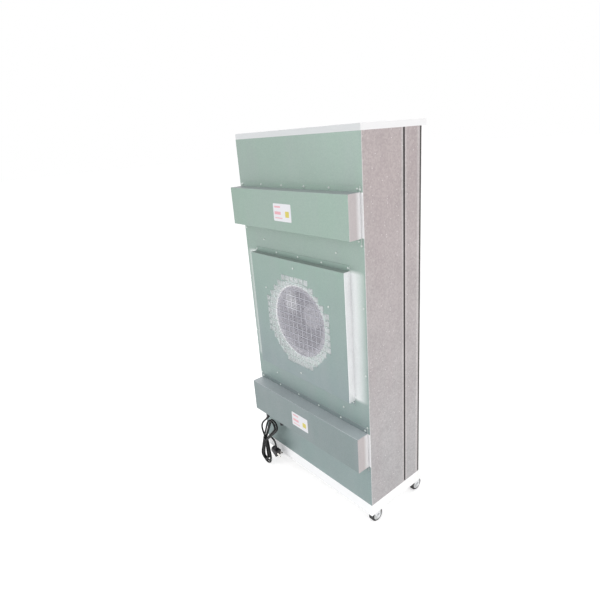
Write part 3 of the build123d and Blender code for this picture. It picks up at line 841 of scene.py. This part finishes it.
@dataclass
class Perforation(SubAssembly):
    """The fine punched field in every window of the intake cover."""

    pitch: float = 22.7 * MM
    window: float = 19.6 * MM
    holes_across: int = 4
    hole_corners: int = 8
    bridge: float = 0.80 * MM
    corner: float = 1.0 * MM
    sheet: float = 0.7 * MM
    depth: float = 0.9 * MM
    rows: tuple[int, ...] = (6, 8, 10, 12, 14, 14, 14, 14, 14, 14, 12, 10, 8, 6)

    def field_plate(self) -> Shape:
        """One window's plate with its rounded holes.

        Returns:
            The plate, upright, centred at the origin.
        """
        bm = bmesh.new()
        cells = self.holes_across
        bmesh.ops.create_grid(bm, x_segments=cells, y_segments=cells, size=self.window / 2)
        cell_faces = set(bm.faces)
        bmesh.ops.inset_individual(bm, faces=list(bm.faces), thickness=self.bridge, depth=0.0)
        corners = list({vert for face in bm.faces if face in cell_faces for vert in face.verts})
        bmesh.ops.bevel(
            bm, geom=corners, offset=self.corner, affect="VERTICES", segments=1, profile=0.5, material=-1
        )
        holes = [face for face in bm.faces if len(face.verts) == self.hole_corners]
        bmesh.ops.delete(bm, geom=holes, context="FACES")
        bmesh.ops.solidify(bm, geom=list(bm.faces), thickness=self.sheet)
        bmesh.ops.recalc_face_normals(bm, faces=bm.faces)
        bmesh.ops.rotate(bm, cent=(0, 0, 0), matrix=UPRIGHT.to_3x3(), verts=bm.verts)
        return bm

    def places(self) -> list[Matrix]:
        """Where each window is, just behind the cover's face."""
        centre = middle("intake_cover")
        depth = low_corner("intake_cover").y + self.depth
        result = []
        for row, count in enumerate(self.rows):
            z = centre.z + (row - (len(self.rows) - 1) / 2) * self.pitch
            for column in range(count):
                x = (column - (count - 1) / 2) * self.pitch
                result.append(Matrix.Translation((x, depth, z)))
        return result

    def build(self, rack: FinishRack) -> None:
        """Make the whole field as one piece."""
        plates = stamped(self.field_plate(), self.places())
        finished_piece(plates, "fine_perforation", rack["perforated_zinc"], smooth=False)


@dataclass
class PanHeadScrews(SubAssembly):
    """The pan head screws of the covers and the panel, with a dimple in each head.

    The head's outline is given in shares of its radius and height. The spots are in millimetres off the
    middle of the intake cover.
    """

    head_radius: float = 3.6 * MM
    head_height: float = 2.2 * MM
    head_steps: int = 16
    outline: tuple[Pair, ...] = (
        (0.0, 0.78), (0.16, 0.80), (0.30, 1.0), (0.55, 0.97), (0.85, 0.72), (1.0, 0.30), (1.0, 0.0), (0.0, 0.0))
    flange: float = 1.2 * MM
    edge: float = 8.0 * MM
    rows: tuple[tuple[str, int, float], ...] = (
        ("upper_box_cover", 6, 108.0 * MM), ("lower_box_cover", 6, 108.0 * MM), ("intake_cover", 5, 112.0 * MM))
    cover_spots: tuple[Pair, ...] = ((0.0, 187.0), (0.0, -187.0), (158.0, 93.0), (-158.0, 93.0))
    panel_spots: tuple[Pair, ...] = (
        *product((-177.0, 177.0), (-257.0, 257.0)),
        *product((-279.0, 279.0), (-290.0, -108.0, 108.0, 290.0, 441.0)),
    )

    def screw(self) -> Shape:
        """One screw head with its crown towards -Y and its foot at the origin."""
        profile = [(self.head_radius * out, self.head_height * up) for out, up in self.outline]
        bm = spun(profile, self.head_steps)
        bmesh.ops.rotate(bm, cent=(0, 0, 0), matrix=UPRIGHT.to_3x3(), verts=bm.verts)
        return bm

    def row(self, node: str, count: int, pitch: float) -> list[Matrix]:
        """Places along the upper and lower flange of one cover.

        Args:
            node: The cover's CAD node.
            count: How many screws stand in a row.
            pitch: The distance between them.

        Returns:
            A place for each screw.
        """
        low, high = low_corner(node), high_corner(node)
        face = high.y - self.flange
        xs = [(number - (count - 1) / 2) * pitch for number in range(count)]
        heights = (low.z + self.edge, high.z - self.edge)
        return [Matrix.Translation((x, face, z)) for z in heights for x in xs]

    def build(self, rack: FinishRack) -> None:
        """Make every screw as one piece."""
        places = [place for row in self.rows for place in self.row(*row)]
        centre = middle("intake_cover")
        front, back = low_corner("intake_cover").y, high_corner("intake_cover").y
        for spots, face in ((self.cover_spots, front), (self.panel_spots, back)):
            places += [Matrix.Translation((x * MM, face, centre.z + z * MM)) for x, z in spots]
        finished_piece(stamped(self.screw(), places), "cover_screws", rack["screw_zinc"])


@dataclass
class Stickers(SubAssembly):
    """The plain stickers on the two boxes, with blank colour fields.

    Each sticker is given as its box, its X and its lift off the box's middle. Each field is given as its
    place off the sticker's middle, its width and its height, in millimetres.
    """

    width: float = 86.0 * MM
    height: float = 54.0 * MM
    thickness: float = 0.15 * MM
    rounding: float = 0.06
    stickers: tuple[tuple[str, float, float], ...] = (
        ("upper_box_cover", -2.5 * MM, -5.0 * MM), ("lower_box_cover", -3.5 * MM, -3.0 * MM))
    bars: tuple[Four, ...] = (
        (-22.0, 17.0, 30.0, 5.0), (-22.0, -2.0, 30.0, 9.0), (-18.0, -17.0, 36.0, 3.0))
    mark: Four = (24.0, -4.0, 18.0, 18.0)

    def patch(self, centre: Vector, width: float, height: float, lift: float) -> Shape:
        """One thin upright rectangle with rounded corners.

        Args:
            centre: Its middle, on the box's face.
            width: Its width.
            height: Its height.
            lift: How far it stands off the face.

        Returns:
            The shape.
        """
        bm = bmesh.new()
        place = Matrix.Translation(centre - Vector((0, lift, 0))) @ Matrix.Diagonal((width, 1.0, height, 1.0))
        bmesh.ops.create_grid(bm, x_segments=1, y_segments=1, size=0.5, matrix=place @ UPRIGHT)
        bmesh.ops.bevel(
            bm, geom=list(bm.verts), offset=min(width, height) * self.rounding, affect="VERTICES", segments=3,
            profile=0.5, material=-1
        )
        extruded = bmesh.ops.extrude_face_region(bm, geom=list(bm.faces))
        verts = [item for item in extruded["geom"] if isinstance(item, bmesh.types.BMVert)]
        bmesh.ops.translate(bm, vec=(0, -self.thickness, 0), verts=verts)
        bmesh.ops.recalc_face_normals(bm, faces=bm.faces)
        return bm

    def build(self, rack: FinishRack) -> None:
        """Make both stickers and their colour fields."""
        for node, x, lift in self.stickers:
            low, high = low_corner(node), high_corner(node)
            centre = Vector((x, low.y, (low.z + high.z) / 2 + lift))
            name = f"{node.split('_')[0]}_sticker"
            face = self.patch(centre, self.width, self.height, 0.0)
            finished_piece(face, name, rack["sticker_white"], smooth=False)
            fields = [(f"{name}_bar_{number}", "sticker_red", bar) for number, bar in enumerate(self.bars)]
            fields.append((f"{name}_mark", "sticker_yellow", self.mark))
            for label, finish, (dx, dz, width, height) in fields:
                middle_point = centre + Vector((dx * MM, 0, dz * MM))
                shape = self.patch(middle_point, width * MM, height * MM, self.thickness)
                finished_piece(shape, label, rack[finish], smooth=False)


# ---- outlet side -----------------------------------------


@dataclass
class OutletMesh(SubAssembly):
    """The fine expanded metal that the outlet guard's wires hold."""

    cell_width: float = 26.0 * MM
    cell_height: float = 11.0 * MM
    strand: float = 1.1 * MM
    sheet: float = 0.8 * MM
    margins: float = 30.0 * MM
    clearance: float = 1.2 * MM

    def build(self, rack: FinishRack) -> None:
        """Make the mesh from a grid that is turned into diamonds."""
        low, high = low_corner("face_guard"), high_corner("face_guard")
        width, height = high.x - low.x - self.margins, high.z - low.z - self.margins
        columns = round(width / self.cell_width)
        rows = round(height / self.cell_height)
        bm = bmesh.new()
        bmesh.ops.create_grid(bm, x_segments=columns, y_segments=rows, size=0.5)
        bmesh.ops.poke(bm, faces=list(bm.faces))
        straight = [edge for edge in bm.edges if not edge.is_boundary and self.runs_along_grid(edge)]
        bmesh.ops.dissolve_edges(bm, edges=straight, use_verts=False)
        place = Matrix.Translation(((low.x + high.x) / 2, low.y - self.clearance, (low.z + high.z) / 2))
        size = Matrix.Diagonal((width, 1.0, height, 1.0))
        bmesh.ops.transform(bm, matrix=place @ size @ UPRIGHT, verts=bm.verts)
        before = set(bm.faces)
        bmesh.ops.inset_individual(bm, faces=list(bm.faces), thickness=self.strand / 2, depth=0.0)
        bmesh.ops.delete(bm, geom=[face for face in bm.faces if face in before], context="FACES")
        bmesh.ops.solidify(bm, geom=list(bm.faces), thickness=self.sheet)
        bmesh.ops.recalc_face_normals(bm, faces=bm.faces)
        finished_piece(bm, "outlet_expanded_mesh", rack["white_paint"], smooth=False)

    @staticmethod
    def runs_along_grid(edge: bmesh.types.BMEdge) -> bool:
        """Whether an edge of the poked grid lies along X or Y."""
        run = edge.verts[0].co - edge.verts[1].co
        return abs(run.x) < 1e-7 or abs(run.y) < 1e-7


# ---- mains cord ------------------------------------------


@dataclass(frozen=True)
class Lobe:
    """One pass of the hank round a lobe, in millimetres off the cord's zero point.

    It has the middle and radius of its bend, its places across the neck at start and end, and the layer
    that it lies in there: -1 for the front one and 1 for the back one.
    """

    centre: Pair
    radius: float
    across: Pair
    layers: tuple[int, int]


@dataclass
class MainsCord(SubAssembly):
    """The mains cord up to its plug: its single strands, its tied hank and the strain relief under the gland.
    """

    diameter: float = 7.0 * MM
    length: float = 2.04
    zero_x: float = 0.0
    zero_y: float = 0.0
    zero_z: float = 0.0
    supply: tuple[Spot, ...] = (
        (75.0, -37.0, 144.0), (64.0, -37.5, 126.0), (40.0, -38.5, 104.0), (20.5, -39.5, 80.0),
        (19.5, -40.0, 55.0), (33.0, -40.0, 31.5))
    lead: tuple[Spot, ...] = (
        (50.8, -40.0, 26.7), (62.2, -39.5, 40.6), (78.6, -38.5, 43.9), (93.4, -37.0, 36.3),
        (100.0, -36.0, 21.0), (99.0, -35.5, 8.8))
    relief_share: float = 0.7
    relief_ribs: int = 7
    relief_radii: Pair = (6.0 * MM, 4.2 * MM)
    relief_groove: float = 0.5 * MM
    neck: Pair = (39.25, 19.5)
    tie_reach: float = 4.0
    plane: float = -40.0
    layer: float = 3.4
    lower: tuple[Lobe, ...] = (
        Lobe((25.0, -64.0), 21.5, (-8.1, 2.7), (-1, -1)),
        Lobe((34.5, -66.0), 24.0, (-8.1, 8.1), (1, 1)),
        Lobe((24.8, -60.0), 21.5, (-5.0, 5.0), (1, 1)),
        Lobe((39.5, -67.0), 26.5, (-2.7, 8.1), (-1, -1)),
    )
    upper: tuple[Lobe, ...] = (
        Lobe((107.0, 111.0), 23.5, (8.1, -2.7), (-1, 1)),
        Lobe((88.0, 103.0), 23.0, (2.7, -8.1), (1, -1)),
        Lobe((99.0, 109.0), 23.0, (8.1, -5.0), (1, 1)),
    )

    def locate(self) -> None:
        """Take the zero point from the frame: the casing's left bottom corner on the intake face."""
        corner = low_corner("intake_panel")
        self.zero_x, self.zero_y, self.zero_z = corner.x, corner.y, corner.z

    def point(self, x: float, y: float, z: float) -> Vector:
        """A point of the route in metres, from millimetres off the zero point."""
        return Vector((self.zero_x + x * MM, self.zero_y + y * MM, self.zero_z + z * MM))

    def turn(self, lobe: Lobe) -> list[Spot]:
        """One pass out of the neck, round a lobe and back.

        Args:
            lobe: The pass.

        Returns:
            Its points, in millimetres off the zero point.
        """
        neck, centre = Vector(self.neck), Vector(lobe.centre)
        along = (centre - neck).normalized()
        across = Vector((along.y, -along.x)) * (1 if along.y > 0 else -1)
        side = 1.0 if lobe.across[0] > 0 else -1.0
        first, last = (neck + across * offset + along * self.tie_reach for offset in lobe.across)
        flat = [first, first.lerp(centre + across * side * lobe.radius, 0.5)]
        for degrees in (90, 45, 0, -45, -90):
            angle = math.radians(degrees)
            sideways = across * side * math.sin(angle)
            flat.append(centre + (sideways + along * math.cos(angle)) * lobe.radius)
        flat += [flat[-1].lerp(last, 0.5), last]
        start, end = (self.plane + layer * self.layer for layer in lobe.layers)
        return [(p.x, start + (end - start) * n / (len(flat) - 1), p.y) for n, p in enumerate(flat)]

    def route(self) -> list[Vector]:
        """The whole cord's points, from the gland to the plug."""
        points = list(self.supply)
        for number, lobe in enumerate(self.lower):
            points += self.turn(lobe)
            if number < len(self.upper):
                points += self.turn(self.upper[number])
        points += self.lead
        return [self.point(*point) for point in points]

    def curve(self, rack: FinishRack) -> bpy.types.Object:
        """The cord itself, one smooth open spline.

        Args:
            rack: The finishes.

        Returns:
            The curve object.
        """
        data = bpy.data.curves.new("mains_cord", "CURVE")
        data.dimensions = "3D"
        data.bevel_depth = self.diameter / 2
        data.bevel_resolution = 4
        data.resolution_u = 6
        data.use_fill_caps = True
        spline = data.splines.new("NURBS")
        route = self.route()
        spline.points.add(len(route) - 1)
        for control, place in zip(spline.points, route):
            control.co = (*place, 1.0)
        spline.order_u = 3
        spline.use_endpoint_u = True
        LOG.info("cord length %.3f m", spline.calc_length())
        data.materials.append(rack["cord_sheath"])
        cord = placed("mains_cord", data)
        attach(cord, UNIT)
        return cord

    def relief(self, rack: FinishRack) -> None:
        """The ribbed, tapered strain relief under the gland, bent along the cord's first bow.

        Args:
            rack: The finishes.
        """
        ribs = self.relief_ribs
        wide, narrow = self.relief_radii
        profile = [(0.0, 0.0)]
        for rib in range(ribs):
            radius = wide + (narrow - wide) * rib / (ribs - 1)
            start = rib / ribs
            inner = radius - self.relief_groove
            profile += [(radius, start), (radius, start + 0.6 / ribs),
                        (inner, start + 0.7 / ribs), (inner, start + 0.95 / ribs)]
        profile.append((0.0, 1.0))
        bm = spun(profile, 20)
        first, second, third = (self.point(*spot) for spot in self.supply[:3])
        third = (second + third) / 2
        for vert in bm.verts:
            share = vert.co.z * self.relief_share
            ahead = (second - first).lerp(third - second, share).normalized()
            centre = first.lerp(second, share).lerp(second.lerp(third, share), share)
            turn = ahead.to_track_quat("Z", "Y")
            vert.co = centre + turn @ Vector((vert.co.x, vert.co.y, 0.0))
        bmesh.ops.recalc_face_normals(bm, faces=bm.faces)
        finished_piece(bm, "cord_strain_relief", rack["black_plastic"])

    def build(self, rack: FinishRack) -> None:
        self.locate()
        cord = self.curve(rack)
        self.relief(rack)
        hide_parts("supply_cord", "cord_hank", "plug_cord")
        LOG.info("cord with %d turns", len(self.lower))


# ---- studio ----------------------------------------------


@dataclass
class Lamp:
    """One soft rectangular lamp."""

    name: str
    place: Spot
    aim: Spot
    size: Pair
    power: float

    def build(self) -> None:
        """Hang the lamp and turn it to its aim."""
        data = bpy.data.lights.new(self.name, "AREA")
        data.shape = "RECTANGLE"
        data.size, data.size_y = self.size
        data.energy = self.power
        lamp = placed(self.name, data)
        lamp.location = self.place
        lamp.rotation_euler = (Vector(self.aim) - Vector(self.place)).to_track_quat("-Z", "Y").to_euler()


@dataclass
class Studio:
    """Floor, surroundings, lamps and camera."""

    camera_place: Spot = (1.1577, -1.0536, 1.2774)
    yaw: float = 51.27
    pitch: float = -19.14
    roll: float = 4.467
    focal_pixels: float = 477.19
    frame_pixels: float = 600.0
    sensor: float = 36.0
    floor_size: float = 60.0
    floor_tone: Colour = (0.82, 0.82, 0.82)
    floor_glow: float = 0.53
    surround_light: float = 0.62
    lamps: tuple[Lamp, ...] = (
        Lamp("front_softbox", (-1.2, -3.4, 2.2), (0.0, 0.0, 0.7), (2.6, 2.6), 52.0),
        Lamp("side_softbox", (3.2, 0.4, 1.6), (0.0, 0.0, 0.7), (2.2, 2.6), 44.0),
        Lamp("low_softbox", (0.3, -2.6, 0.5), (0.0, 0.0, 0.2), (2.0, 0.8), 9.0),
        Lamp("top_softbox", (0.4, -0.6, 4.0), (0.0, 0.0, 0.4), (2.4, 2.4), 23.0),
    )

    def floor(self) -> None:
        """Lay a plain pale floor that turns white under the camera and keeps the shadow."""
        bm = bmesh.new()
        bmesh.ops.create_grid(bm, x_segments=1, y_segments=1, size=self.floor_size / 2)
        mesh = bpy.data.meshes.new("studio_floor")
        bm.to_mesh(mesh)
        bm.free()
        floor = placed("studio_floor", mesh)
        material = bpy.data.materials.new("studio_floor")
        material.use_nodes = True
        bench = Bench(material.node_tree)
        shader = material.node_tree.nodes["Principled BSDF"]
        shader.inputs["Base Color"].default_value = opaque(self.floor_tone)
        shader.inputs["Roughness"].default_value = 0.9
        shader.inputs["Specular IOR Level"].default_value = 0.1
        glow = bench.math("MULTIPLY", self.seen(bench), self.floor_glow)
        shader.inputs["Emission Color"].default_value = (1.0, 1.0, 1.0, 1.0)
        bench.join(glow, shader.inputs["Emission Strength"])
        mesh.materials.append(material)

    @staticmethod
    def seen(bench: Bench) -> Socket:
        """A mask that is 1 for camera, glossy and transmission rays."""
        path = bench.add("ShaderNodeLightPath")
        first = bench.math("MAXIMUM", path.outputs["Is Camera Ray"], path.outputs["Is Glossy Ray"])
        return bench.math("MAXIMUM", first, path.outputs["Is Transmission Ray"])

    def surroundings(self) -> None:
        """Set a white background that lights the unit at a plain level."""
        world = bpy.data.worlds.new("studio")
        world.use_nodes = True
        bench = Bench(world.node_tree)
        background = world.node_tree.nodes["Background"]
        background.inputs["Color"].default_value = (1.0, 1.0, 1.0, 1.0)
        strength = bench.spread(self.seen(bench), 0.0, 1.0, self.surround_light, 1.0)
        bench.join(strength, background.inputs["Strength"])
        bpy.context.scene.world = world

    def camera(self) -> None:
        """Place the camera at its viewing angle."""
        data = bpy.data.cameras.new("studio_camera")
        data.sensor_width = self.sensor
        data.lens = self.focal_pixels / self.frame_pixels * self.sensor
        data.clip_end = 100.0
        camera = placed("studio_camera", data)
        turn = Matrix.Identity(4)
        for degrees, axis in ((self.yaw, "Z"), (self.pitch, "X"), (self.roll, "Y")):
            turn = turn @ Matrix.Rotation(math.radians(degrees), 4, axis)
        camera.matrix_world = Matrix.Translation(self.camera_place) @ turn @ UPRIGHT
        bpy.context.scene.camera = camera

    def build(self) -> None:
        """Set up the whole studio."""
        bpy.context.scene.view_settings.view_transform = "Standard"
        self.camera()
        self.surroundings()
        self.floor()
        for lamp in self.lamps:
            lamp.build()


def main() -> None:
    """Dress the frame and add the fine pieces."""
    logging.basicConfig(level=logging.INFO, format="%(name)s: %(message)s")
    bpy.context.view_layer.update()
    Studio().build()
    rack = FinishRack()
    rack.fill()
    rack.dress_nodes()
    for part in (MainsCord(), Perforation(), PanHeadScrews(), Stickers(), OutletMesh()):
        part.build(rack)


if __name__ == "__main__":
    main()
